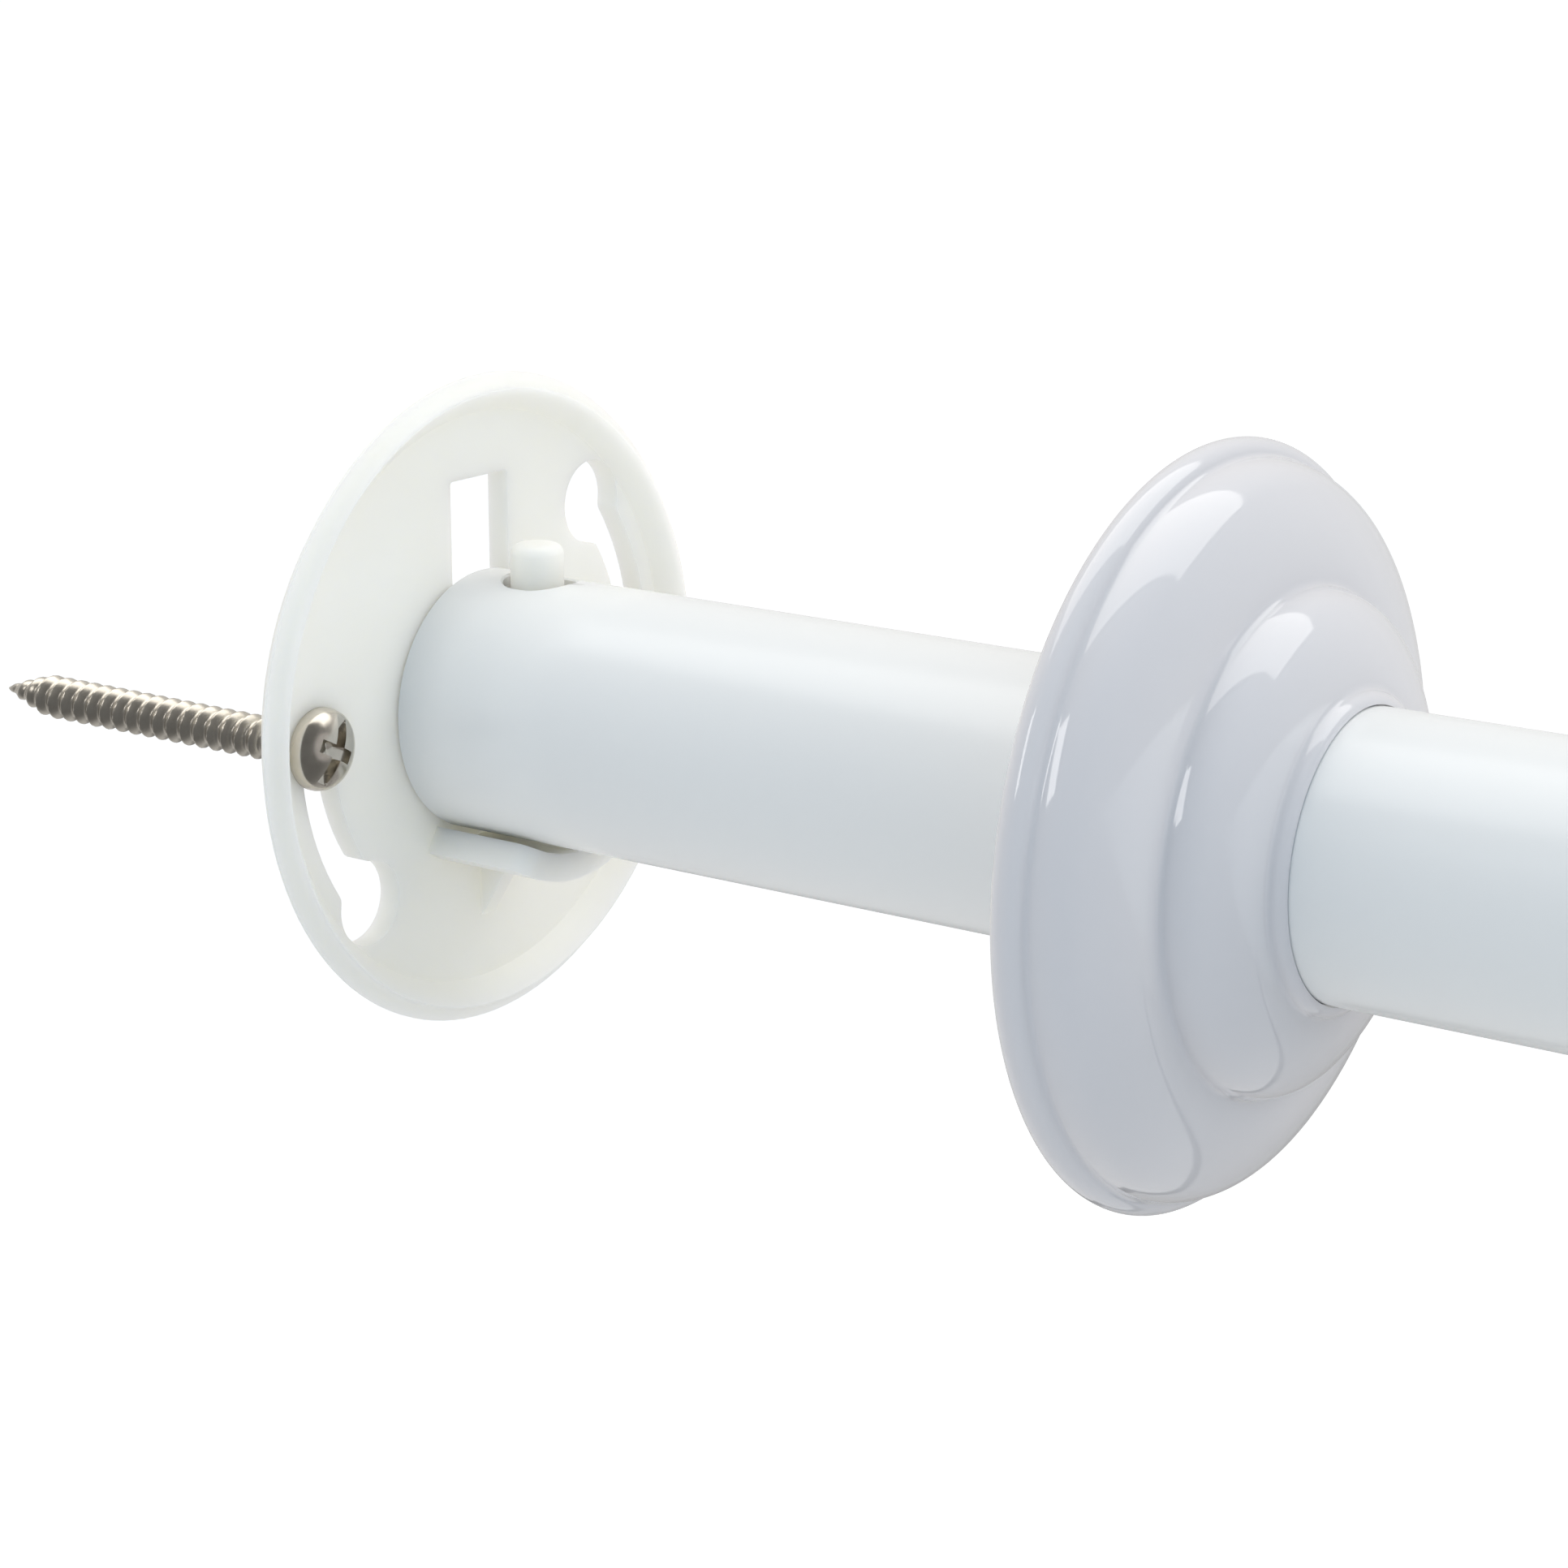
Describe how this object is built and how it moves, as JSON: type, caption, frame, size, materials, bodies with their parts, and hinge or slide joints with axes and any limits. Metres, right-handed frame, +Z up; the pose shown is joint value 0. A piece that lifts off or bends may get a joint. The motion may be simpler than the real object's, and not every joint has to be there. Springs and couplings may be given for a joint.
{
  "type": "shower curtain rod",
  "caption": "Straight round rod between two screwed wall plates, each with a sprung latch button and a stepped cover that slides along the tube.",
  "frame": {"origin": "centre of the left wall plate's back face, on the wall and on the rod's axis", "axes": "+X along the rod away from the left wall, +Z up with the latch buttons on top"},
  "size_m": [1.6002, 0.067, 0.067],
  "materials": {
    "tube_enamel": "semi-gloss white enamel",
    "natural_moulding": "satin, slightly translucent",
    "gloss_white": "high gloss",
    "screw_steel": "bright nickel tone"
  },
  "bodies": {
    "rod": {"rod_tube": "tube_enamel", "left_wall_plate": "natural_moulding", "right_wall_plate": "natural_moulding", "wall_screws": "screw_steel"},
    "left_latch": {"left_latch_arm": "natural_moulding"},
    "right_latch": {"right_latch_arm": "natural_moulding"},
    "left_cover_ring": {"left_cover": "gloss_white"},
    "right_cover_ring": {"right_cover": "gloss_white"}
  },
  "joints": [
    {"name": "left_cover_slide", "type": "slide", "parent": "rod", "child": "left_cover_ring", "axis": [1, 0, 0], "range_m": [-0.0791, 0.66]},
    {"name": "right_cover_slide", "type": "slide", "parent": "rod", "child": "right_cover_ring", "axis": [-1, 0, 0], "range_m": [-0.0791, 0.66]},
    {"name": "left_latch_press", "type": "hinge", "parent": "rod", "child": "left_latch", "pos_m": [0.0464, 0, 0.00901], "axis": [0, -1, 0], "range_deg": [0, 7.5], "stiffness_Nm_per_rad": 0.8},
    {"name": "right_latch_press", "type": "hinge", "parent": "rod", "child": "right_latch", "pos_m": [1.4776, 0, 0.00901], "axis": [0, 1, 0], "range_deg": [0, 7.5], "stiffness_Nm_per_rad": 0.8}
  ]
}
